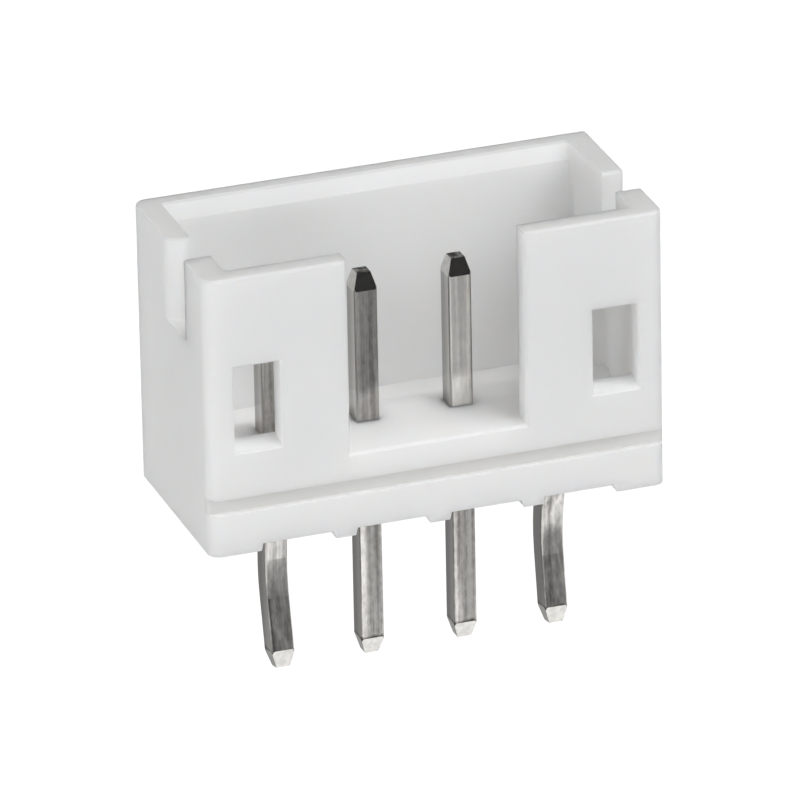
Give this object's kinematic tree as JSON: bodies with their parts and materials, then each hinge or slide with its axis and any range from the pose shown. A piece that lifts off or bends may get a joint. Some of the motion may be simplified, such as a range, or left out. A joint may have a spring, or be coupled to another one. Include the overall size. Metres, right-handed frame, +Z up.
{
  "type": "shrouded pin header",
  "caption": "White moulded shroud with square tin plated pins in one row, windowed front panels and slotted ends, for a cable plug on a circuit board.",
  "frame": {"origin": "middle of the pin row, on the top face of the circuit board that the feet stand on", "axes": "+X along the pin row, -Y out of the windowed front, +Z up, the way the plug comes out"},
  "size_m": [0.0098, 0.0045, 0.0095],
  "materials": {
    "moulded_nylon": "fine satin, as moulded",
    "tin_plated_brass": "bright tin plating with drawn lengthwise streaks"
  },
  "bodies": {
    "root": {"housing": "moulded_nylon", "contact_pin_1": "tin_plated_brass", "contact_pin_2": "tin_plated_brass", "contact_pin_3": "tin_plated_brass", "contact_pin_4": "tin_plated_brass"}
  },
  "joints": []
}
